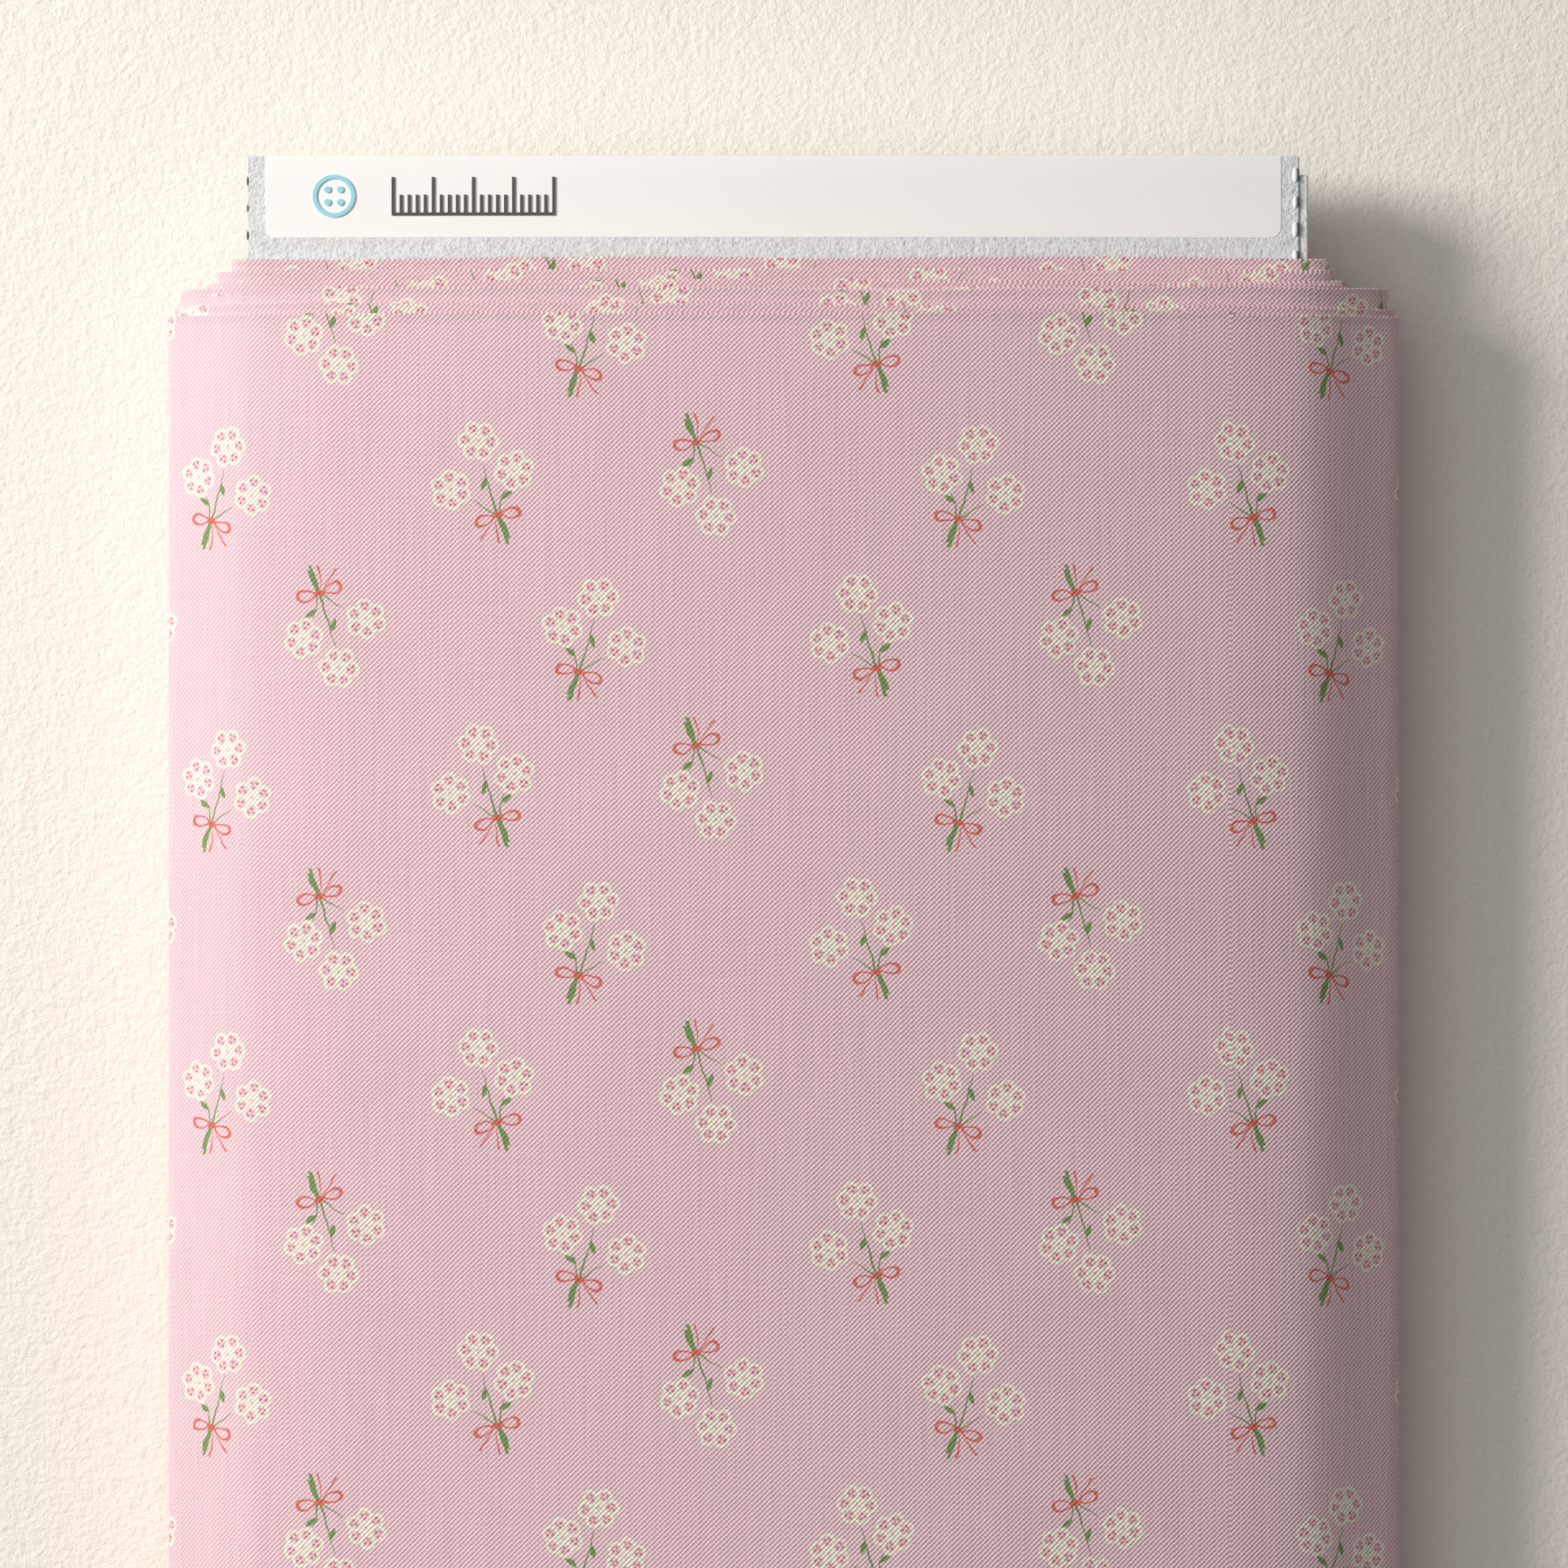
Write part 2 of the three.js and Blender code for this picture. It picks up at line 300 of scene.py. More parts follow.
@dataclass(frozen=True)
class Finish:
    """A finish with one Principled surface. Kinds of finish add their own pattern to it."""

    name: str
    colour: Colour
    roughness: float = 0.8
    sheen: float = 0.0
    specular: float = 0.5
    place: Place = Place.OBJECT

    def pattern(self, graph: Graph, place: Socket) -> tuple[Socket | Colour, Socket | None]:
        """The colour and the bent normal, which a plain finish has none of."""
        return self.colour, None

    def material(self) -> bpy.types.Material:
        """The finish's material, made once.

        Returns:
            The material, with a node tree of its own.
        """
        name = f"finish_{self.name}"
        made = bpy.data.materials.get(name)
        if made:
            return made
        made = bpy.data.materials.new(name)
        made.use_nodes = True
        tree = made.node_tree
        tree.nodes.clear()
        graph = Graph(tree)
        if self.place is Place.OBJECT:
            place = graph.node("ShaderNodeTexCoord").outputs["Object"]
        else:
            place = graph.node("ShaderNodeUVMap", uv_map=CLOTH_MAP).outputs["UV"]
        surface = graph.node("ShaderNodeBsdfPrincipled")
        surface.inputs["Roughness"].default_value = self.roughness
        surface.inputs["Specular IOR Level"].default_value = self.specular
        surface.inputs["Sheen Weight"].default_value = self.sheen
        surface.inputs["Sheen Roughness"].default_value = 0.4
        colour, normal = self.pattern(graph, place)
        graph.feed(surface.inputs["Base Color"], colour)
        if normal is not None:
            graph.feed(surface.inputs["Normal"], normal)
        out = graph.node("ShaderNodeOutputMaterial")
        tree.links.new(surface.outputs[0], out.inputs["Surface"])
        made.diffuse_color = (*self.colour, 1.0)
        return made


@dataclass(frozen=True)
class BoardFinish(Finish):
    """Rough white-grey recycled board: soft clumps, short fibres and a grainy surface."""

    clump_scale: float = 420.0
    grain_scale: float = 1500.0
    fibre_scale: tuple[float, float, float] = (900.0, 260.0, 900.0)
    relief: float = 0.4 * MM

    def pattern(self, graph: Graph, place: Socket) -> tuple[Socket, Socket]:
        """The board's mottled colour with painted shade in the pits of its grain, and the grain's
        relief.
        """
        clumps = graph.noise(place, self.clump_scale, 3.0, 0.6)
        grain = graph.noise(place, self.grain_scale, 3.0, 0.65)
        stretched = graph.node("ShaderNodeMapping")
        graph.feed(stretched.inputs["Vector"], place)
        stretched.inputs["Scale"].default_value = self.fibre_scale
        fibres = graph.noise(stretched.outputs[0], 1.0, 2.0, 0.5)
        # Painted shade: the colour is made darker where the grain is low, in its pits. The clumps
        # and fibres are the board's own uneven tone.
        pit_shade = graph.ramp(grain, 0.46, 0.34)
        mottle_and_pit_shade = graph.add(graph.mul(clumps, 0.22), graph.mul(grain, 0.42), graph.mul(fibres, 0.12))
        mottle_and_pit_shade = graph.sub(graph.add(mottle_and_pit_shade, 0.64), graph.mul(pit_shade, 0.12))
        colour = graph.shade(self.colour, mottle_and_pit_shade)
        height = graph.add(graph.mul(grain, 0.8), graph.mul(clumps, 0.6), graph.mul(fibres, 0.3))
        return colour, graph.bump(height, self.relief, 1.0)


@dataclass(frozen=True)
class PaperFinish(Finish):
    """Smooth coated paper of a faintly uneven colour."""

    haze_scale: float = 60.0
    tooth_scale: float = 2600.0
    relief: float = 0.02 * MM

    def pattern(self, graph: Graph, place: Socket) -> tuple[Socket, Socket]:
        """The paper's even colour and very fine tooth."""
        haze = graph.noise(place, self.haze_scale, 2.0)
        tooth = graph.noise(place, self.tooth_scale, 2.0)
        colour = graph.shade(self.colour, graph.add(graph.mul(haze, 0.03), 0.985))
        return colour, graph.bump(tooth, self.relief, 0.35)


@dataclass(frozen=True)
class FloorFinish(Finish):
    """A plain pale surface of heavy paper with a soft tooth."""

    tooth_scale: float = 900.0
    swell_scale: float = 320.0
    relief: float = 0.55 * MM

    def pattern(self, graph: Graph, place: Socket) -> tuple[Socket, Socket]:
        """The surface's slight relief."""
        tooth = graph.noise(place, self.tooth_scale, 3.0, 0.6)
        swell = graph.noise(place, self.swell_scale, 2.0, 0.5)
        colour = graph.shade(self.colour, graph.add(graph.mul(tooth, 0.06), 0.97))
        height = graph.add(graph.mul(tooth, 0.7), graph.mul(swell, 0.6))
        return colour, graph.bump(height, self.relief, 0.8)


# ---------------------------------------------------------------- printed cotton

CLOTH_MAP = "cloth"


@dataclass(frozen=True)
class Stroke:
    """A drawn line of the posy, in millimetres.

    At the knot's height it is aside to the right of the knot. It leans right by lean for each
    millimetre up, the lean grows with bend, and the line runs from low to high.
    """

    aside: float
    lean: float
    bend: float
    low: float
    high: float


@dataclass(frozen=True)
class Posy:
    """The printed motif, in millimetres about its own centre: three round blossoms, tied."""

    blossoms: tuple[tuple[float, float, float], ...] = (
        (-0.9, 7.9, 0.1),
        (5.6, 2.6, 0.75),
        (-5.9, -0.9, 0.4),
    )
    petals: int = 6
    radius: float = 3.7
    rim: float = 0.56
    dot: float = 0.22
    stem: float = 0.25
    stems: tuple[Stroke, ...] = (
        Stroke(0.0, -0.33, 0.004, -10.6, 4.0),
        Stroke(0.5, -0.12, 0.062, -9.6, -0.9),
        Stroke(-0.3, -1.15, -0.16, -9.2, -2.9),
    )
    tail: float = 0.16
    tails: tuple[Stroke, ...] = (
        Stroke(-0.3, 0.5, -0.03, -10.0, -6.0),
        Stroke(-0.1, 0.16, 0.05, -10.6, -6.0),
    )
    knot: tuple[float, float] = (2.6, -5.5)
    leaves: tuple[tuple[float, float, float], ...] = ((0.2, 0.2, 1.25), (4.1, -1.9, 0.6))

    def nearest(self, g: Graph, x: Socket, y: Socket) -> tuple[Socket, Socket, Socket]:
        """The place measured from the nearest blossom's centre, and that blossom's turn."""
        places = []
        for centre_x, centre_y, turn in self.blossoms:
            dx, dy = g.sub(x, centre_x), g.sub(y, centre_y)
            places.append((g.add(g.mul(dx, dx), g.mul(dy, dy)), (dx, dy, turn)))
        return g.nearest(places)

    def blossom(self, g: Graph, x: Socket, y: Socket) -> tuple[Socket, Socket]:
        """The cream of the three blossoms, and the dots on their petals."""
        dx, dy, turn = self.nearest(g, x, y)
        far = g.length(dx, dy)
        step = math.tau / self.petals
        count = g.math("DIVIDE", g.add(g.math("ARCTAN2", dy, dx), turn), step)
        off = g.mul(g.sub(count, g.math("ROUND", count)), step)
        along = g.mul(far, g.math("COSINE", off))
        across = g.math("ABSOLUTE", g.mul(far, g.math("SINE", off)))
        petal = g.length(g.sub(along, 0.62 * self.radius), across)
        inside = g.sub(0.4 * self.radius, petal)
        rim = g.mul(
            g.ramp(inside, -0.06, 0.08), g.ramp(inside, self.rim + 0.06, self.rim - 0.08)
        )
        heart = g.ramp(g.math("ABSOLUTE", g.sub(far, 0.62)), 0.3, 0.18)
        dots = 0.0
        for place, side in ((0.5, 0.0), (0.71, 0.12)):
            gap = g.length(
                g.sub(along, place * self.radius), g.sub(across, side * self.radius)
            )
            dots = g.highest(dots, g.ramp(gap, self.dot + 0.06, self.dot - 0.06))
        return g.highest(rim, heart), dots

    def arc(self, g: Graph, x: Socket, y: Socket, stroke: Stroke, width: float) -> Socket:
        """1 on a stroke and 0 off it. It tapers as it goes up; width is half its lower end's."""
        up = g.sub(y, self.knot[1])
        path = g.add(
            g.mul(up, stroke.lean), g.mul(up, up, stroke.bend), self.knot[0] + stroke.aside
        )
        slope = g.length(1.0, g.add(g.mul(up, 2 * stroke.bend), stroke.lean))
        off = g.math("ABSOLUTE", g.math("DIVIDE", g.sub(x, path), slope))
        low, high = stroke.low, stroke.high
        share = g.math("DIVIDE", g.sub(y, low), high - low)
        half = g.mul(g.sub(1.25, share), width)
        ends = g.mul(g.ramp(y, low - 0.1, low + 0.1), g.ramp(y, high + 0.1, high - 0.1))
        return g.mul(g.ramp(g.sub(off, half), 0.06, -0.06), ends)

    def leaf(self, g: Graph, x: Socket, y: Socket, place: tuple[float, float, float]) -> Socket:
        """A small pointed leaf at a place and a turn."""
        dx, dy = g.sub(x, place[0]), g.sub(y, place[1])
        cosine, sine = math.cos(place[2]), math.sin(place[2])
        along = g.add(g.mul(dx, cosine), g.mul(dy, sine))
        across = g.math("ABSOLUTE", g.sub(g.mul(dy, cosine), g.mul(dx, sine)))
        edge = g.sub(0.5, g.mul(along, along, 0.28))
        return g.ramp(g.sub(edge, across), -0.05, 0.08)

    def green(self, g: Graph, x: Socket, y: Socket) -> Socket:
        """Three stems that cross at the knot, and two leaves."""
        strokes = (self.arc(g, x, y, stroke, self.stem) for stroke in self.stems)
        return g.highest(*strokes, *(self.leaf(g, x, y, place) for place in self.leaves))

    def loop(
        self, g: Graph, x: Socket, y: Socket, centre: tuple[float, float], turn: float
    ) -> Socket:
        """One loop of the bow: the outline of a drop that narrows towards the knot."""
        dx = g.sub(x, centre[0])
        dy = g.sub(y, centre[1])
        cosine, sine = math.cos(turn), math.sin(turn)
        along = g.math("DIVIDE", g.add(g.mul(dx, cosine), g.mul(dy, sine)), 1.7)
        across = g.sub(g.mul(dy, cosine), g.mul(dx, sine))
        girth = g.add(g.mul(along, -0.32), 0.86)
        across = g.math("DIVIDE", across, g.math("MAXIMUM", girth, 0.2))
        gap = g.math("ABSOLUTE", g.sub(g.length(along, across), 1.0))
        return g.ramp(gap, 0.26, 0.12)

    def ribbon(self, g: Graph, x: Socket, y: Socket) -> Socket:
        """The coral ribbon: a knot, a loop on each side and two tails."""
        knot_x, knot_y = self.knot
        left = self.loop(g, x, y, (knot_x - 2.3, knot_y - 0.9), 0.36)
        right = self.loop(g, x, y, (knot_x + 2.3, knot_y + 0.5), math.pi + 0.1)
        knot = g.ramp(g.length(g.sub(x, knot_x), g.mul(g.sub(y, knot_y), 1.25)), 0.85, 0.65)
        tails = (self.arc(g, x, y, stroke, self.tail) for stroke in self.tails)
        return g.highest(left, right, knot, *tails)


@dataclass(frozen=True)
class PrintRepeat:
    """How the motif repeats on the cloth, in millimetres: a half-drop of three posies a cell."""

    column: float = 68.1
    rise: float = 54.5
    drop: float = 27.25
    start: tuple[float, float] = (-54.1, 534.1)
    mirrored: tuple[float, float] = (19.9, -28.0)
    turned: tuple[float, float] = (41.0, 2.4)

    def local(
        self, g: Graph, u: Socket, v: Socket, shift: tuple[float, float]
    ) -> tuple[Socket, Socket]:
        """The place measured from the nearest posy of one kind."""
        across = g.math("DIVIDE", g.sub(u, self.start[0] + shift[0]), self.column)
        count = g.math("ROUND", across)
        x = g.mul(g.sub(across, count), self.column)
        up = g.sub(v, self.start[1] + shift[1])
        up = g.math("DIVIDE", g.add(up, g.mul(count, self.drop)), self.rise)
        y = g.mul(g.sub(up, g.math("ROUND", up)), self.rise)
        return x, y

    def nearest(self, g: Graph, u: Socket, v: Socket) -> tuple[Socket, Socket]:
        """The place in the frame of the nearest posy of any kind, each turned its own way."""
        places = []
        kinds = (((0.0, 0.0), 1, 1), (self.mirrored, -1, 1), (self.turned, -1, -1))
        for shift, turn_x, turn_y in kinds:
            x, y = self.local(g, u, v, shift)
            far = g.add(g.mul(x, x), g.mul(y, y))
            places.append((far, (g.mul(x, turn_x), g.mul(y, turn_y))))
        return g.nearest(places)


@dataclass(frozen=True)
class ClothFinish(Finish):
    """Plain-woven cotton with its print, read from the cloth's own map in metres."""

    print_strength: float = 1.0
    cream: Colour = (0.86, 0.83, 0.68)
    dots: Colour = (0.66, 0.10, 0.13)
    green: Colour = (0.15, 0.29, 0.075)
    coral: Colour = (0.70, 0.13, 0.10)
    selvage: Colour = (0.86, 0.78, 0.76)
    thread: float = 0.46
    lean: float = 0.62
    relief: float = 0.24 * MM
    waver: float = 0.6
    cut_width: float = 1.13
    selvage_width: float = 0.009
    posy: Posy = field(default_factory=Posy)
    repeat: PrintRepeat = field(default_factory=PrintRepeat)

    def weave(self, g: Graph, u: Socket, v: Socket, slub: Socket) -> Socket:
        """The height of the weave from 0 to 1: thread crossings, drawn a little to one slant."""
        wander = g.mul(g.sub(slub, 0.5), 0.5)
        turn = math.pi / self.thread
        rising = g.math("COSINE", g.mul(g.add(g.sub(u, v), wander), turn))
        falling = g.math("COSINE", g.mul(g.add(u, v, wander), turn))
        return g.add(g.mul(rising, 0.5 * self.lean), g.mul(falling, 0.5 - 0.5 * self.lean), 0.5)

    def printed(self, g: Graph, u: Socket, v: Socket, ground: Socket) -> Socket:
        """The ground colour with the posies printed on it."""
        hand = g.node("ShaderNodeTexNoise", noise_dimensions="2D")
        g.feed(hand.inputs["Vector"], g.join(u, v))
        hand.inputs["Scale"].default_value = 0.45
        hand.inputs["Detail"].default_value = 1.0
        waver, waver_up, _ = g.split(hand.outputs["Color"])
        x, y = self.repeat.nearest(
            g,
            g.add(u, g.mul(g.sub(waver, 0.5), self.waver)),
            g.add(v, g.mul(g.sub(waver_up, 0.5), self.waver)),
        )
        outline, dots = self.posy.blossom(g, x, y)
        strength = self.print_strength
        colour = g.tint(g.mul(outline, 0.92 * strength), ground, self.cream)
        colour = g.tint(g.mul(dots, 0.88 * strength), colour, self.dots)
        colour = g.tint(g.mul(self.posy.green(g, x, y), 0.92 * strength), colour, self.green)
        return g.tint(g.mul(self.posy.ribbon(g, x, y), 0.9 * strength), colour, self.coral)

    def pattern(self, graph: Graph, place: Socket) -> tuple[Socket, Socket]:
        """The printed colour with painted shade and highlight of the weave, and the woven relief.
        """
        g = graph
        along, across, _ = g.split(place)
        u = g.mul(along, 1 / MM)
        v = g.mul(across, 1 / MM)
        warp_slub = g.noise(g.join(g.mul(u, 1.7), g.mul(v, 0.045)), 1.0, 2.0, 0.6)
        weft_slub = g.noise(g.join(g.mul(u, 0.05), g.mul(v, 1.7), 7.0), 1.0, 2.0, 0.6)
        soft = g.noise(g.join(u, v, 3.0), 0.028, 2.0, 0.5)
        weave = self.weave(g, u, v, warp_slub)
        ground = g.shade(self.colour, g.add(g.mul(soft, 0.06), 0.97))
        colour = self.printed(g, u, v, ground)
        # The weave term darkens the gaps between the threads and lightens their crossings: painted
        # shade and painted highlight of the weave. The slubs add the threads' own uneven tone.
        weave_shade_and_slubs = g.add(
            g.mul(weave, 0.26), g.mul(warp_slub, 0.2), g.mul(weft_slub, 0.12), 0.71
        )
        colour = g.shade(colour, weave_shade_and_slubs)
        margin = g.math("MINIMUM", across, g.sub(self.cut_width, across))
        edge = g.ramp(margin, self.selvage_width + 0.0002, self.selvage_width - 0.0002)
        colour = g.tint(g.mul(edge, 0.9), colour, self.selvage)
        height = g.add(g.mul(weave, 0.7), g.mul(warp_slub, 0.4), g.mul(weft_slub, 0.25))
        return colour, g.bump(height, self.relief, 0.9)


@dataclass(frozen=True)
class Finishes:
    """Every finish on the bolt."""

    board: Finish = BoardFinish("board", (0.73, 0.745, 0.755), roughness=0.85, specular=0.3)
    # Painted shade: the near-black colour stands for the dark inside of the cuts through the board.
    slit_shade: Finish = Finish("board_slit_shade", (0.10, 0.10, 0.105), roughness=0.95, specular=0.1)
    rim: Finish = PaperFinish("board_rim", (0.92, 0.93, 0.935), roughness=0.8, specular=0.3)
    label: Finish = PaperFinish("label_paper", (0.93, 0.905, 0.88), roughness=0.5, specular=0.35)
    blue_ink: Finish = PaperFinish("blue_ink", (0.31, 0.68, 0.79), roughness=0.5, specular=0.3)
    dark_ink: Finish = PaperFinish("dark_ink", (0.09, 0.08, 0.08), roughness=0.5, specular=0.3)
    tape: Finish = PaperFinish("tape", (0.78, 0.68, 0.48), roughness=0.35)
    cloth: Finish = ClothFinish(
        "cotton", (0.79, 0.56, 0.605), roughness=0.9, sheen=0.12, specular=0.2, place=Place.CLOTH
    )
    cloth_back: Finish = ClothFinish(
        "cotton_back", (0.80, 0.62, 0.65), roughness=0.95, sheen=0.08, specular=0.15,
        place=Place.CLOTH, print_strength=0.35,
    )
    floor: Finish = FloorFinish("floor", (0.90, 0.855, 0.79), roughness=0.9, specular=0.2)


FINISHES = Finishes()


# ---------------------------------------------------------------- wound cloth

STRAIGHT_STEPS = 18
CORNER_STEPS = 10
STRETCHES = 6
ROWS_BY_FOLD = (0.0, 0.4, 0.8, 1.2, 1.7, 2.4, 3.5, 6.0, 12.0, 20.0)


@dataclass(frozen=True)
class Outline:
    """The outline of a turn in X and Z: two flat faces and two round sides, before its crown."""

    left: float
    right: float
    half: float
    corner_x: float
    corner_z: float
    centre_z: float

    def grown(self, by: float) -> "Outline":
        """The outline with the same shape, larger all round."""
        wide, high = self.corner_x + by, self.corner_z + by
        return Outline(self.left - by, self.right + by, self.half + by, wide, high, self.centre_z)

    def towards(self, other: "Outline", share: np.ndarray) -> "Outline":
        """Outlines part of the way to another, one for each share."""
        mine, theirs = (
            np.array([one.left, one.right, one.half, one.corner_x, one.corner_z])
            for one in (self, other)
        )
        values = mine[:, None] + (theirs - mine)[:, None] * share[None, :]
        return Outline(*values, self.centre_z)

    def points(self, stretch: np.ndarray, part: np.ndarray) -> tuple[np.ndarray, np.ndarray]:
        """Places on the outline.

        Args:
            stretch: 0 the back, 1 and 2 the left side going up, 3 the front, 4 and 5 the right
                side going down.
            part: how far along its stretch each place is, from 0 to 1.

        Returns:
            Arrays of X and Z.
        """
        rising = np.where(stretch == 1, part - 1, part) * math.pi / 2
        falling = np.where(stretch == 4, 1 - part, -part) * math.pi / 2
        angle = np.where(stretch < 3, rising, falling)
        straight = self.half - self.corner_z
        round_z = self.centre_z + np.sign(angle) * straight + self.corner_z * np.sin(angle)
        inset = self.corner_x * (1 - np.cos(angle))
        low_x, high_x = self.left + self.corner_x, self.right - self.corner_x
        x = np.select(
            [stretch == 0, stretch == 3, stretch < 3],
            [high_x + (low_x - high_x) * part, low_x + (high_x - low_x) * part, self.left + inset],
            self.right - inset,
        )
        z = np.select(
            [stretch == 0, stretch == 3],
            [self.centre_z - self.half, self.centre_z + self.half],
            round_z,
        )
        return x, z


def stations(start: float, stop: float, straight: int, corner: int) -> np.ndarray:
    """Places along a winding path, in turns times six stretches.

    Args:
        start: where the path starts, as turns times 6 plus the stretch and the part of it.
        stop: where it stops.
        straight: steps on each flat stretch.
        corner: steps on each quarter of a side.

    Returns:
        The places, rising, both ends included.
    """
    sliver = 0.002
    places = [start, start + sliver, stop - sliver]
    for whole in range(math.floor(start), math.ceil(stop)):
        count = straight if whole % 3 == 0 else corner
        places.extend(
            whole + step / count
            for step in range(count)
            if start + 2 * sliver < whole + step / count < stop - 2 * sliver
        )
    places.append(stop)
    return np.sort(np.array(places))


@dataclass(frozen=True)
class Crown:
    """How the front of the bolt curves, by one rule for the board and for every turn."""

    reach: float
    top: float
    board_front: float
    board_left: float
    board_right: float
    middle: float
    share: float = 0.72
    shoulder: float = 16 * MM
    early: float = 3 * MM
    bulge: float = 2.5 * MM

    def bulged(self, x: np.ndarray) -> np.ndarray:
        """How far the board's front panel stands up between its two edges."""
        centre = (self.board_left + self.board_right) / 2
        across = (x - centre) / (self.board_right - centre)
        return self.bulge * np.maximum(1 - across**2, 0)

    def placed(self, x: np.ndarray, z: np.ndarray) -> np.ndarray:
        """Z of places on turns with flat fronts, moved to where the curved front is."""
        above = (z - self.board_front) / (self.top - self.board_front)
        past = np.maximum(x - self.board_right, self.board_left - x)
        past = np.clip((past + self.early * np.clip(above, 0, 1)) / self.shoulder, 0, 1)
        past = past * past * (3 - 2 * past)
        foot = self.board_front + (self.middle - self.board_front) * past
        lowered = z - self.share * (x / self.reach) ** 2 * np.maximum(z - foot, 0)
        lift = self.bulged(x) * np.clip(1 - above, 0, 1)
        return lowered + np.where(above >= 0, lift, 0)


def front_crown() -> Crown:
    """The bolt's crown, from the boxes of the board and of the outer turn."""
    low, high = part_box("front_panel")
    gap = Cloth.gap
    return Crown(
        reach=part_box("cloth_tail")[1][0],
        top=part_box("cloth_outer_turn")[1][2],
        board_front=high[2],
        board_left=low[0] - gap,
        board_right=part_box("right_edge_panel")[1][0] + gap,
        middle=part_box("cloth_outer_turn")[1][2] / 2,
    )


@dataclass
class Winding:
    """A stretch of doubled cloth wound from an inner outline to an outer one."""

    name: str
    crown: Crown
    inner: Outline
    outer: Outline
    start: float
    stop: float
    fold_y: float
    length_before: float = 0.0
    ply: float = 0.17 * MM
    fold: float = 0.14 * MM
    width: float = 0.565
    bead: float = 0.22 * MM
    bead_width: float = 0.9 * MM
    side_dip: float = 0.2 * MM
    overhang: float = 0.8 * MM
    waver: float = 0.35 * MM
    swell: float = 0.25 * MM
    rows: int = 4
    straight: int = STRAIGHT_STEPS
    corner: int = CORNER_STEPS
    seed: int = 1

    @property
    def at(self) -> np.ndarray:
        """The stations along the winding."""
        return stations(self.start, self.stop, self.straight, self.corner)

    def stretches(self) -> tuple[np.ndarray, np.ndarray]:
        """Which stretch of the outline each station is on, and the part of it before it."""
        whole = np.floor(self.at + 1e-9)
        return whole.astype(int) % STRETCHES, self.at - whole

    def path(self, grow: float) -> tuple[np.ndarray, np.ndarray]:
        """X and Z along the winding, at a distance outside the doubled cloth's middle."""
        share = (self.at - self.start) / (self.stop - self.start)
        outline = self.inner.towards(self.outer, share)
        x, z = outline.points(*self.stretches())
        z = self.crown.placed(x, z)
        along_x, along_z = np.gradient(x), np.gradient(z)
        size = np.hypot(along_x, along_z)
        return x - grow * along_z / size, z + grow * along_x / size

    def lengths(self) -> np.ndarray:
        """How far along the cloth each station is."""
        x, z = self.path(0.0)
        steps = np.hypot(np.diff(x), np.diff(z))
        return np.concatenate([[0.0], np.cumsum(steps)])

    def fold_line(self, along: np.ndarray) -> np.ndarray:
        """Y of the folded edge at each station: it wavers, and dips at the sides."""
        rng = np.random.default_rng(self.seed)
        line = np.full(len(along), self.fold_y)
        for wave in (0.31, 0.17, 0.083, 0.041):
            phase = rng.uniform(0, math.tau)
            size = self.waver * rng.uniform(0.4, 1.0) * (wave / 0.31) ** 0.5
            line += size * np.sin(along / wave * math.tau + phase)
        stretch, part = self.stretches()
        near = np.select(
            [(stretch == 1) | (stretch == 4), (stretch == 2) | (stretch == 5)],
            [part, 1 - part],
            0.0,
        )
        inner = np.clip((self.stop - self.at) / STRETCHES - 1, 0, 1)
        set_back = self.overhang * inner * (self.stop - self.start > STRETCHES)
        return line - set_back - self.side_dip * np.sin(near * math.pi / 2) ** 36

    def cross_section(self) -> tuple[np.ndarray, np.ndarray, np.ndarray]:
        """One strip across the doubled cloth, from selvage to fold to selvage.

        Returns:
            For each row: its distance outside the middle, how far below the fold line it is,
            and its place across the cut width.
        """
        near = np.array(ROWS_BY_FOLD) * MM
        far = self.width - near[::-1]
        between = np.linspace(near[-1], far[0], self.rows + 2)[1:-1]
        below = np.concatenate([near, between, far])[::-1]
        turn = np.linspace(math.pi / 2, -math.pi / 2, 7)[1:-1]
        bead = self.fold + self.bead * np.exp(-((below / self.bead_width) ** 2))
        round_fold = (self.fold + self.bead) * np.sin(turn)
        grow = np.concatenate([bead, round_fold, np.full(len(below), -self.fold)])
        grow = np.maximum(grow, -self.fold)
        depth = np.concatenate(
            [below + self.fold, self.fold * (1 - np.cos(turn)), below[::-1] + self.fold]
        )
        depth = np.minimum(depth, self.width)
        round_flat = self.width + self.fold * (math.pi / 2 - turn) * 0.1
        flat = np.concatenate([self.width - below, round_flat, self.width + below[::-1]])
        return grow, depth, flat

    def build(self, finishes: Finishes) -> bpy.types.Object:
        """Makes the winding's mesh, both plies and their thickness, with the cloth's own map.

        Args:
            finishes: the finishes for the right side and the wrong side.

        Returns:
            The new piece.
        """
        along = self.lengths()
        fold_line = self.fold_line(along)
        grow, depth, flat = self.cross_section()
        columns, rows = len(along), len(grow)
        points = np.empty((columns, rows, 3))
        for row, distance in enumerate(grow):
            x, z = self.path(distance)
            points[:, row, 0] = x
            points[:, row, 1] = fold_line - depth[row]
            points[:, row, 2] = z
        points[:, :, 2] += self.waves(points)
        u = np.repeat(self.length_before + along, rows)
        v = np.tile(flat, columns)
        mesh = mesh_from(self.name, points.reshape(-1, 3), grid_faces(columns, rows))
        mesh.flip_normals()
        layer = mesh.uv_layers.new(name=CLOTH_MAP)
        corner = np.empty(len(mesh.loops), np.int32)
        mesh.loops.foreach_get("vertex_index", corner)
        flat_places = np.stack([u[corner], v[corner]], 1).astype(np.float32)
        layer.uv.foreach_set("vector", flat_places.ravel())
        piece = new_object(self.name, mesh)
        mesh.materials.append(finishes.cloth.material())
        mesh.materials.append(finishes.cloth_back.material())
        wall = thicken(piece, "ply", self.ply, -1.0)
        wall.material_offset = 1
        wall.material_offset_rim = 1
        apply_modifiers(piece)
        return piece

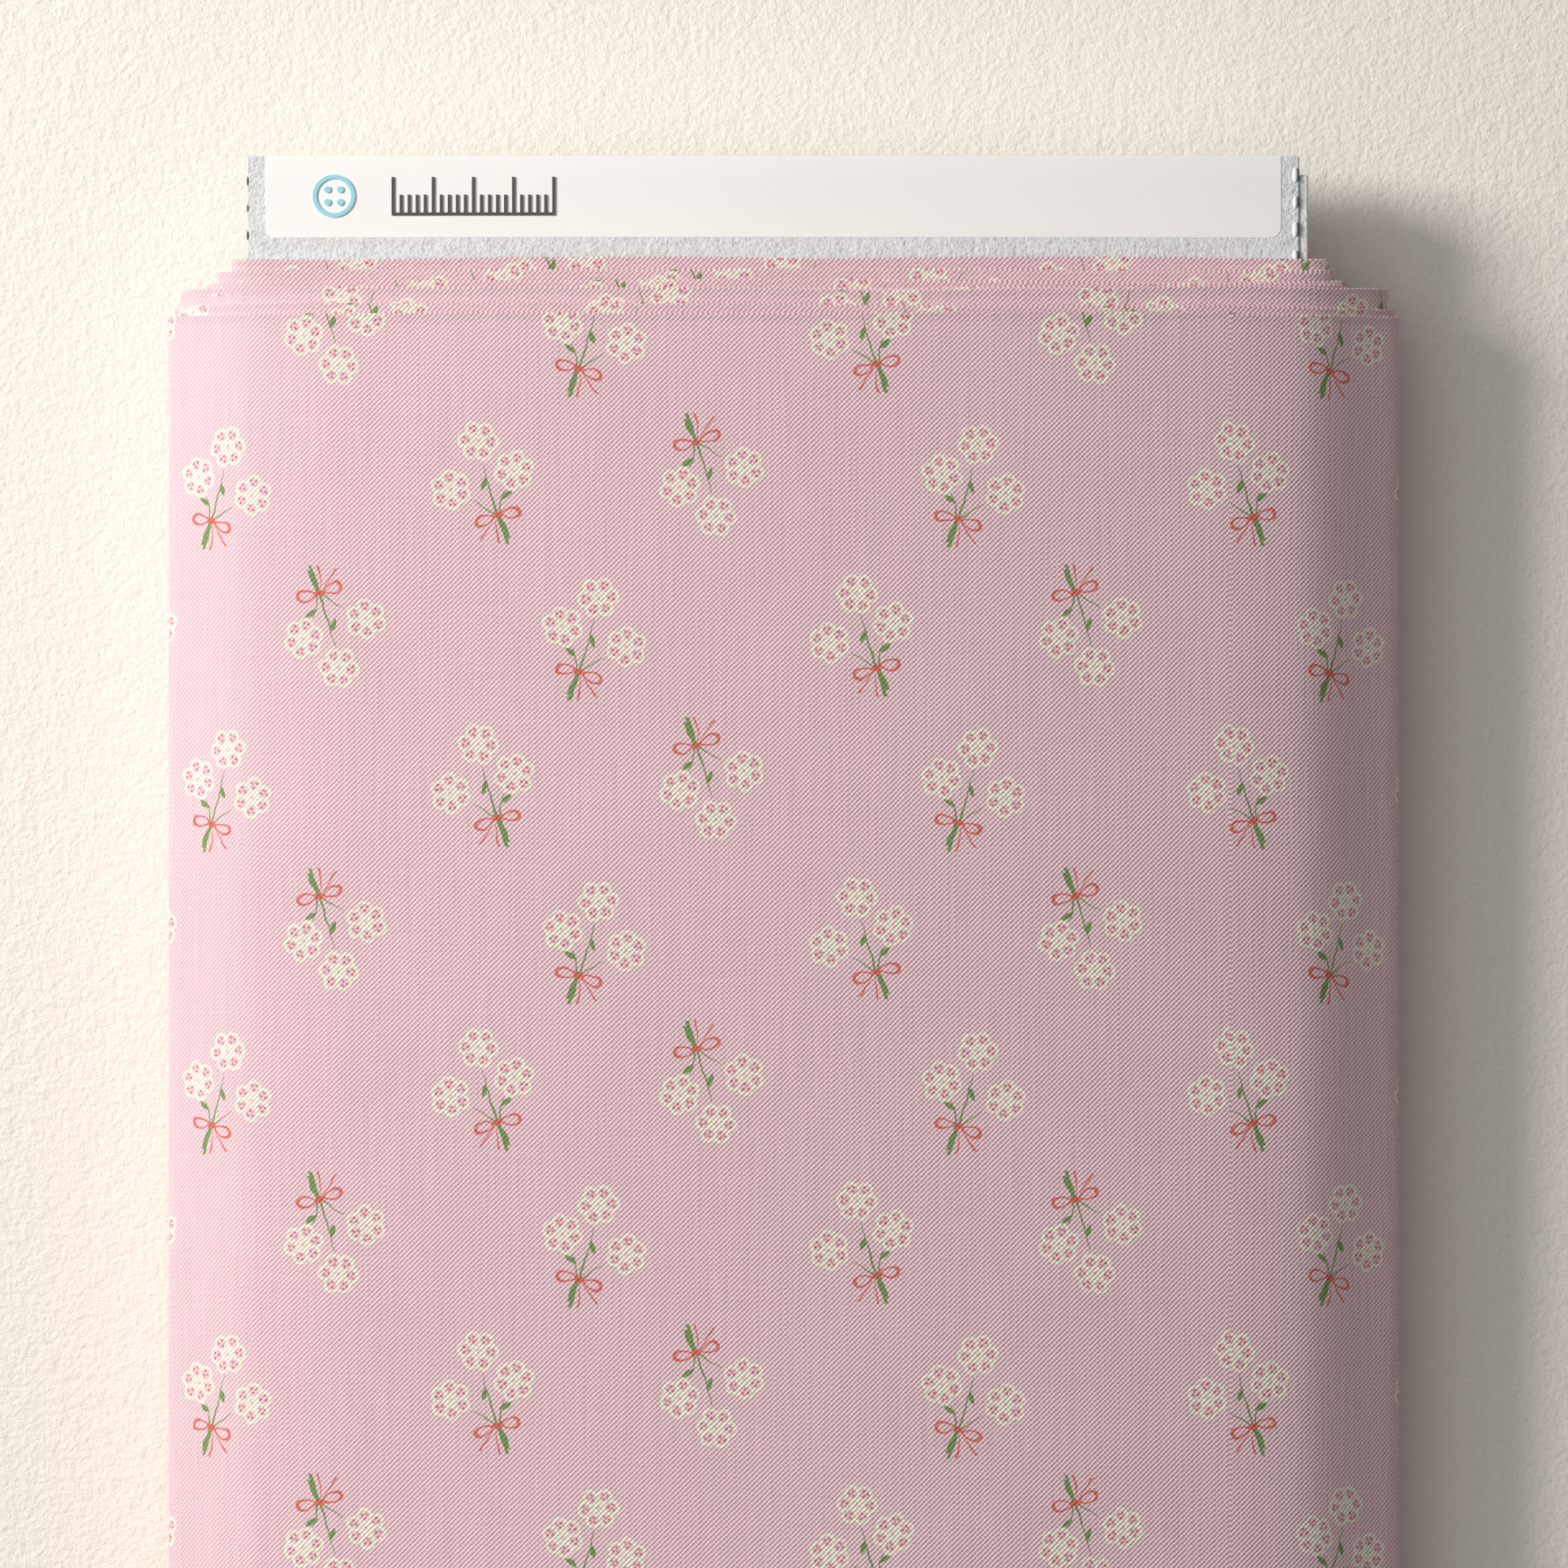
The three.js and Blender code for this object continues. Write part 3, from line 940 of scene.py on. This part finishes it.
    def waves(self, points: np.ndarray) -> np.ndarray:
        """How far the slack front of the wound cloth rises and falls, in slow waves."""
        x, y, z = points[:, :, 0], points[:, :, 1], points[:, :, 2]
        above = np.clip((z - self.outer.centre_z) / self.outer.half, 0, 1) ** 2
        long_wave = np.sin(y * 31 + 1.3 + x * 9) * np.sin(x * 37 + 0.4)
        short_wave = np.sin(y * 57 + x * 61 + 2.1)
        return self.swell * above * (0.65 * long_wave + 0.35 * short_wave)


@dataclass
class Cloth:
    """The whole wound cloth: five inner groups of turns, the outer turn and the loose end."""

    finishes: Finishes
    groups: tuple[str, ...] = tuple(f"cloth_turns_{number}" for number in range(1, 6))
    pitch: float = 0.7 * MM
    gap: float = 0.3 * MM
    board_corner: float = 0.2 * MM
    side_corner: float = 34 * MM
    tail_start: float = 85.0
    tail_end: float = -25.0

    def outline(self, left: float, right: float, half: float) -> Outline:
        """The outline of a turn, its corners rounder the more cloth there is under it."""
        low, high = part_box("front_panel"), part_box("back_panel")
        board_half = (low[1][2] - high[0][2]) / 2
        full = self.full_half - board_half
        share = (half - board_half) / full
        corner_x = self.board_corner + (self.side_corner - self.board_corner) * share
        corner_z = self.board_corner + (self.full_half - self.board_corner) * share
        return Outline(left, right, half, corner_x, corner_z, self.full_half)

    @property
    def full_half(self) -> float:
        """Half the bolt's thickness, which is also the height of its middle."""
        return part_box("cloth_outer_turn")[1][2] / 2

    def group_outline(self, node: str) -> Outline:
        """The outer outline of a group of turns, from its solid."""
        low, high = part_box(node)
        return self.outline(low[0], high[0], (high[2] - low[2]) / 2)

    def outer_outline(self) -> Outline:
        """The outer turn's outline: the turn's left side and the loose end's right side."""
        low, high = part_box("cloth_outer_turn")
        return self.outline(low[0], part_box("cloth_tail")[1][0], (high[2] - low[2]) / 2)

    def build(self) -> None:
        """Makes every stretch of cloth, from the board out."""
        board_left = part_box("front_panel")[0][0]
        board_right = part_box("right_edge_panel")[1][0]
        board_half = (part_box("front_panel")[1][2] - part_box("back_panel")[0][2]) / 2
        inside = self.outline(
            board_left - self.gap, board_right + self.gap, board_half + self.gap
        )
        thick = Winding.fold
        for number, node in enumerate(self.groups):
            outside = self.group_outline(node)
            build = (outside.half - inside.half) * 0.5 + (outside.right - inside.right) * 0.5
            turns = max(1, round(build / self.pitch))
            winding = Winding(
                f"wound_{node}", front_crown(), inside.grown(thick), outside.grown(-thick),
                0.5, 0.5 + STRETCHES * turns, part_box(node)[1][1],
                length_before=0.11 * number, seed=11 + number,
            )
            self.add(winding, node)
            inside = outside.grown(self.gap * 0.5)
        self.build_outer(thick)

    def build_outer(self, thick: float) -> None:
        """Makes the outer turn and the loose end that carries on from it."""
        outline = self.outer_outline().grown(-thick)
        fold_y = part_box("cloth_outer_turn")[1][1]
        start = 5 - self.tail_end / 90
        seam = 4 + STRETCHES + (90 - self.tail_start) / 90
        turn = Winding(
            "outer_turn", front_crown(), outline, outline, start, seam, fold_y,
            waver=0.3 * MM, rows=36, straight=48, corner=24, seed=31,
        )
        x, _ = turn.path(0.0)
        along = turn.lengths()
        front = turn.stretches()[0] == 3
        turn.length_before = -float(np.interp(0.0, x[front], along[front]))
        self.add(turn, "cloth_outer_turn")
        tail = replace(
            turn,
            name="loose_cloth",
            start=seam - STRETCHES,
            stop=start,
            length_before=turn.length_before + float(along[-1]),
        )
        self.add(tail, "cloth_tail")

    def add(self, winding: Winding, node: str) -> None:
        piece = winding.build(self.finishes)
        length = float(winding.lengths()[-1])
        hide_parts(node)
        if node == "cloth_tail":
            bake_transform(piece)
        else:
            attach(piece, ROOT)
        log.info("%s: %.2f m of doubled cloth", piece.name, length)


# ---------------------------------------------------------------- board


class Marks(Enum):
    """The kinds of mark that repeat along a crease of the board."""

    RIM = "rim"
    # Dark marks of painted shade inside the cuts.
    SLIT_SHADE = "slit_shade"


@dataclass(frozen=True)
class MarkRow:
    """A row of equal marks along Y: raised rims, or dark marks of painted shade where the board is
    slit.
    """

    name: str
    kind: Marks
    x: float
    z: float
    first_y: float
    pitch: float
    count: int
    length: float
    width: float

    def tree(self) -> bpy.types.NodeTree:
        """The Geometry Nodes tree that lays one mark at each step and squeezes it to size."""
        name = "crease marks"
        made = bpy.data.node_groups.get(name)
        if made:
            return made
        made = bpy.data.node_groups.new(name, "GeometryNodeTree")
        face = made.interface
        face.new_socket("Geometry", in_out="OUTPUT", socket_type="NodeSocketGeometry")
        for label, kind in (
            ("Start", "NodeSocketVector"),
            ("Pitch", "NodeSocketFloat"),
            ("Count", "NodeSocketInt"),
            ("Size", "NodeSocketVector"),
            ("Material", "NodeSocketMaterial"),
        ):
            face.new_socket(label, in_out="INPUT", socket_type=kind)
        graph = Graph(made)
        inputs = graph.node("NodeGroupInput")
        line = graph.node("GeometryNodeMeshLine", mode="OFFSET")
        graph.feed(line.inputs["Count"], inputs.outputs["Count"])
        graph.feed(line.inputs["Start Location"], inputs.outputs["Start"])
        step = graph.node("ShaderNodeCombineXYZ")
        graph.feed(step.inputs["Y"], graph.mul(inputs.outputs["Pitch"], -1.0))
        graph.feed(line.inputs["Offset"], step.outputs[0])
        ball = graph.node("GeometryNodeMeshUVSphere")
        ball.inputs["Segments"].default_value = 20
        ball.inputs["Rings"].default_value = 10
        ball.inputs["Radius"].default_value = 0.5
        laid = graph.node("GeometryNodeInstanceOnPoints")
        graph.feed(laid.inputs["Points"], line.outputs["Mesh"])
        graph.feed(laid.inputs["Instance"], ball.outputs["Mesh"])
        uneven = graph.node("FunctionNodeRandomValue", data_type="FLOAT")
        uneven.inputs[2].default_value = 0.85
        uneven.inputs[3].default_value = 1.1
        uneven.inputs["Seed"].default_value = 4
        graph.feed(laid.inputs["Scale"], graph.shade(inputs.outputs["Size"], uneven.outputs[1]))
        real = graph.node("GeometryNodeRealizeInstances")
        graph.feed(real.inputs[0], laid.outputs[0])
        finish = graph.node("GeometryNodeSetMaterial")
        graph.feed(finish.inputs["Geometry"], real.outputs[0])
        graph.feed(finish.inputs["Material"], inputs.outputs["Material"])
        graph.feed(graph.node("NodeGroupOutput").inputs[0], finish.outputs[0])
        return made

    def build(self, finish: Finish) -> None:
        """Makes the row, with the marks' finish, as one piece that rides on the board."""
        piece = new_object(self.name, mesh_from(self.name, np.zeros((1, 3)), []))
        row = piece.modifiers.new("marks", "NODES")
        row.node_group = self.tree()
        values = {
            "Start": (self.x, self.first_y, self.z),
            "Pitch": self.pitch,
            "Count": self.count,
            "Size": (self.width, self.length, 0.7 * self.width),
            "Material": finish.material(),
        }
        for item in row.node_group.interface.items_tree:
            if item.name in values:
                row[item.identifier] = values[item.name]
        apply_modifiers(piece)
        piece.data.polygons.foreach_set("use_smooth", [True] * len(piece.data.polygons))
        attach(piece, ROOT)
        log.info("%s: %d marks", piece.name, self.count)


@dataclass
class Board:
    """The folded board: its panels, its end closures and the perforated creases."""

    finishes: Finishes
    edge: float = 0.22 * MM
    pitch: float = 4.9 * MM
    hole: tuple[float, float] = (2.7 * MM, 1.0 * MM)
    crease_inset: float = 0.75 * MM
    closed_gap: float = 0.35 * MM
    strips: int = 32
    hidden: tuple[str, ...] = ("inner_front_panel", "stiffener_channel")

    def plate(self, node: str, body: str) -> None:
        """Makes a panel with rounded edges, in its node's place."""
        low, high = (Vector(corner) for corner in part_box(node))
        mesh = bpy.data.meshes.new(f"board_{node}")
        if node == "right_edge_panel":
            low.x -= self.closed_gap
            high.z += self.closed_gap
        form = bmesh.new()
        bmesh.ops.create_cube(form, size=1.0)
        for vertex in form.verts:
            vertex.co = Vector(
                high[axis] if vertex.co[axis] > 0 else low[axis] for axis in range(3)
            )
        bmesh.ops.bevel(
            form, geom=list(form.edges), offset=self.edge, segments=3, affect="EDGES",
            clamp_overlap=True,
        )
        if node == "front_panel":
            self.bow(form)
        form.to_mesh(mesh)
        form.free()
        bowed = node == "front_panel"
        mesh.polygons.foreach_set(
            "use_smooth", [bowed or face.area < 1e-4 for face in mesh.polygons]
        )
        mesh.set_sharp_from_angle(angle=math.radians(20))
        piece = new_object(f"board_{node}", mesh)
        mesh.materials.append(self.finishes.board.material())
        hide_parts(node)
        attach(piece, body)

    def bow(self, form: bmesh.types.BMesh) -> None:
        """Cuts a panel across into narrow strips and bows it up between its edges."""
        crown = front_crown()
        reach = crown.board_right - crown.board_left
        for step in range(1, self.strips):
            place = crown.board_left + reach * step / self.strips
            everything = [*form.verts, *form.edges, *form.faces]
            bmesh.ops.bisect_plane(
                form, geom=everything, plane_co=(place, 0, 0), plane_no=(1, 0, 0)
            )
        for vertex in form.verts:
            vertex.co.z += float(crown.bulged(np.array(vertex.co.x)))

    def build(self) -> None:
        """Makes the panels and closures."""
        for node in ("front_panel", "back_panel", "left_edge_panel", "right_edge_panel"):
            self.plate(node, ROOT)
        for end in ("label_end", "foot_end"):
            for part in ("flap", "tuck_tab", "dust_flap_left", "dust_flap_right"):
                moves = end == "foot_end" and part in ("flap", "tuck_tab")
                self.plate(f"{end}_{part}", FOOT_CLOSURE if moves else ROOT)
        self.perforate()
        for node in self.hidden:
            dress(node, self.finishes.board)

    def perforate(self) -> None:
        """Makes the torn-up rims of the perforated right crease, and dark marks of painted shade in
        its slits and in the left crease's.
        """
        low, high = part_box("front_panel")
        length, width = self.hole
        count = math.floor((high[1] - low[1]) / self.pitch) - 1
        crown = front_crown()
        rim_x = high[0] - self.crease_inset
        rim_z = high[2] + float(crown.bulged(np.array(rim_x)))
        first = high[1] - 3.5 * MM
        rows = (
            MarkRow("perforation_rims", Marks.RIM, rim_x, rim_z, first, self.pitch, count,
                    length, width),
            MarkRow("perforation_slit_shades", Marks.SLIT_SHADE, rim_x + 0.55 * width, rim_z + 0.05 * MM,
                    first, self.pitch, count, 0.9 * length, 0.45 * width),
            MarkRow("left_crease_slit_shades", Marks.SLIT_SHADE, low[0] + 0.25 * MM, high[2] - 0.05 * MM,
                    high[1] - 4.6 * MM, self.pitch, count, 0.65 * length, 0.45 * width),
        )
        for row in rows:
            row.build(self.finishes.rim if row.kind is Marks.RIM else self.finishes.slit_shade)


def dress(node: str, finish: Finish) -> None:
    """Gives a carried-over solid its finish."""
    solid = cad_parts[node]
    solid.data.materials.clear()
    solid.data.materials.append(finish.material())


# ---------------------------------------------------------------- label

CORNER_ROWS = (0.0, 0.02, 0.05, 0.1, 0.15, 0.22, 0.3, 0.45, 0.6, 0.8, 1.0, 1.25, 1.5, 2.0)


@dataclass
class Label:
    """The paper label folded over the board's end, with its printed mark."""

    finishes: Finishes
    paper: float = 0.24 * MM
    lift: float = 0.08 * MM
    corner: float = 2.0 * MM
    bend: float = 0.5 * MM
    film: float = 0.03 * MM
    button: float = 3.85 * MM
    ticks: int = 21
    tick_pitch: float = 1.45 * MM
    tick_wide: float = 0.55 * MM
    tick_tall: float = 6.4 * MM
    button_from_corner: tuple[float, float] = (12.4 * MM, 7.9 * MM)
    scale_from_corner: tuple[float, float] = (22.8 * MM, 10.9 * MM)
    columns: int = 24

    def build(self) -> None:
        """Makes the label's sheet."""
        low, high = (Vector(corner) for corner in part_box("label"))
        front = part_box("front_panel")[1][2] + self.lift
        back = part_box("back_panel")[0][2] - self.lift
        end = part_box("front_panel")[1][1] + self.lift
        crown = front_crown()
        edge = low[1]
        leaf = end - self.bend - edge
        near = [step * MM for step in CORNER_ROWS] + [leaf * share for share in (0.4, 0.7, 1.0)]
        profile = [(edge + far, front, far) for far in near]
        for turn in np.linspace(0, math.pi / 2, 6)[1:]:
            y = end - self.bend + self.bend * math.sin(turn)
            profile.append((y, front - self.bend + self.bend * math.cos(turn), leaf))
        profile += [(y, front + back - z, far) for y, z, far in reversed(profile)]
        columns = []
        for y, z, far in profile:
            inside = max(self.corner - far, 0.0)
            inset = self.corner - math.sqrt(self.corner**2 - inside**2)
            xs = np.linspace(low[0] + inset, high[0] - inset, self.columns)
            lifts = crown.bulged(xs) * np.clip((z - back) / (front - back), 0, 1) ** 4
            columns.append([(x, y, z + lift) for x, lift in zip(xs, lifts)])
        points = np.array(columns).reshape(-1, 3)
        mesh = mesh_from("label_sheet", points, grid_faces(len(columns), self.columns))
        piece = new_object("label_sheet", mesh)
        mesh.flip_normals()
        thicken(piece, "paper", self.paper, 1.0)
        apply_modifiers(piece)
        piece.data.materials.append(self.finishes.label.material())
        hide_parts("label")
        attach(piece, ROOT)
        log.info("%s: %d faces", piece.name, len(piece.data.polygons))
        self.print_button()
        self.print_scale()

    def height(self, x: np.ndarray) -> np.ndarray:
        """Z of the printed film over the label's front leaf."""
        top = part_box("front_panel")[1][2] + self.lift + self.paper + self.film
        return top + front_crown().bulged(x)

    def print_film(self, name: str, shapes: list[np.ndarray], finish: Finish) -> None:
        """Lays flat polygons, each an array of X and Y, on the label as one thin print."""
        points, faces = [], []
        for shape in shapes:
            start = len(points)
            points.extend((x, y, float(self.height(np.array(x)))) for x, y in shape)
            faces.append(tuple(range(start, len(points))))
        piece = new_object(name, mesh_from(name, np.array(points), faces, smooth=False))
        thicken(piece, "ink", self.film, -1.0)
        apply_modifiers(piece)
        piece.data.materials.append(finish.material())
        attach(piece, ROOT)
        log.info("%s: %d shapes", piece.name, len(shapes))

    def print_button(self) -> None:
        """A plain sewing button with four holes, as a ring and four dots."""
        x, y = self.from_corner(self.button_from_corner)
        turn = np.linspace(0, math.tau, 49)
        ring = []
        for start, stop in zip(turn[:-1], turn[1:]):
            inner, outer = self.button - 0.75 * MM, self.button
            corners = ((inner, start), (outer, start), (outer, stop), (inner, stop))
            places = [(x + far * math.cos(at), y + far * math.sin(at)) for far, at in corners]
            ring.append(np.array(places))
        round_turn = np.linspace(0, math.tau, 17)[:-1]
        dot = np.stack([np.cos(round_turn), np.sin(round_turn)], 1) * 0.62 * MM
        reach = 1.15 * MM
        for side_x in (-reach, reach):
            for side_y in (-reach, reach):
                ring.append(dot + (x + side_x, y + side_y))
        self.print_film("label_button", ring, self.finishes.blue_ink)

    def print_scale(self) -> None:
        """A row of measuring ticks on a base line, every fifth one long."""
        x, y = self.from_corner(self.scale_from_corner)
        bars = []
        for count in range(self.ticks):
            tall = self.tick_tall if count % 5 == 0 else 0.5 * self.tick_tall
            left = x + count * self.tick_pitch
            bars.append((left, y, left + self.tick_wide, y + tall))
        bars.append((x, y - self.tick_wide, left + self.tick_wide, y))
        shapes = [
            np.array([(x0, y0), (x1, y0), (x1, y1), (x0, y1)]) for x0, y0, x1, y1 in bars
        ]
        self.print_film("label_scale", shapes, self.finishes.dark_ink)

    def from_corner(self, inset: tuple[float, float]) -> tuple[float, float]:
        """X and Y of a place measured in from the label's upper left corner."""
        low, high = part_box("label")
        return low[0] + inset[0], high[1] - inset[1]


# ---------------------------------------------------------------- studio


@dataclass
class Studio:
    """The plain floor, the lights and the camera straight above."""

    finishes: Finishes
    lens: float = 300.0
    sensor: float = 36.0
    view_width: float = 0.2811
    view_centre: tuple[float, float] = (0.0, 0.1848)
    view_plane: float = 0.042
    sky: float = 1.16
    sky_towards: tuple[float, float, float] = (-0.3, 0.18, 1.0)
    sky_focus: float = 5.0
    horizon: float = 0.03
    floor_half: float = 4.0
    key_side: float = 0.45
    key_energy: float = 17.4
    key_place: tuple[float, float, float] = (-1.02, 0.62, 0.76)
    key_target: tuple[float, float, float] = (0.0, 0.15, 0.0)

    def floor(self) -> None:
        """A wide plain floor."""
        half = self.floor_half
        points = np.array([(-half, -half, 0), (half, -half, 0), (half, half, 0), (-half, half, 0)])
        piece = new_object("floor", mesh_from("floor", points, [(0, 1, 2, 3)], smooth=False))
        piece.data.materials.append(self.finishes.floor.material())

    def camera(self) -> None:
        """A long lens that looks straight down, its top edge towards +Y."""
        data = bpy.data.cameras.new("camera")
        data.lens = self.lens
        data.sensor_width = self.sensor
        data.clip_end = 20.0
        camera = bpy.data.objects.new("camera", data)
        distance = self.view_width / self.sensor * self.lens
        camera.location = (*self.view_centre, self.view_plane + distance)
        bpy.context.scene.collection.objects.link(camera)
        bpy.context.scene.camera = camera

    def lights(self) -> None:
        """A soft key light low on the left, and the pale surroundings."""
        data = bpy.data.lights.new("key", "AREA")
        data.shape = "RECTANGLE"
        data.size = self.key_side
        data.size_y = self.key_side
        data.energy = self.key_energy
        data.color = (1.0, 0.985, 0.96)
        key = bpy.data.objects.new("key", data)
        key.location = self.key_place
        aim = Vector(self.key_target) - key.location
        key.rotation_euler = aim.to_track_quat("-Z", "Y").to_euler()
        bpy.context.scene.collection.objects.link(key)
        self.surroundings()

    def surroundings(self) -> None:
        """A soft pale sky that is brightest overhead, towards the key light."""
        world = bpy.data.worlds.new("surroundings")
        world.use_nodes = True
        background = world.node_tree.nodes["Background"]
        background.inputs["Color"].default_value = (1.0, 0.99, 0.975, 1.0)
        graph = Graph(world.node_tree)
        aim = graph.node("ShaderNodeVectorMath", operation="DOT_PRODUCT")
        graph.feed(aim.inputs[0], graph.node("ShaderNodeTexCoord").outputs["Generated"])
        aim.inputs[1].default_value = Vector(self.sky_towards).normalized()
        lobe = graph.math("POWER", graph.highest(aim.outputs["Value"], 0.0), self.sky_focus)
        strength = graph.add(graph.mul(lobe, self.sky), self.horizon)
        graph.feed(background.inputs["Strength"], strength)
        bpy.context.scene.world = world

    def build(self) -> None:
        """Makes the floor, the camera and the lights."""
        self.floor()
        self.camera()
        self.lights()
        bpy.context.scene.view_settings.view_transform = "Standard"


def main() -> None:
    """Builds the studio and the bolt, from the board out."""
    logging.basicConfig(level=logging.INFO, format="%(name)s: %(message)s")
    Studio(FINISHES).build()
    Board(FINISHES).build()
    Label(FINISHES).build()
    dress("start_tape", FINISHES.tape)
    Cloth(FINISHES).build()


if __name__ == "__main__":
    main()
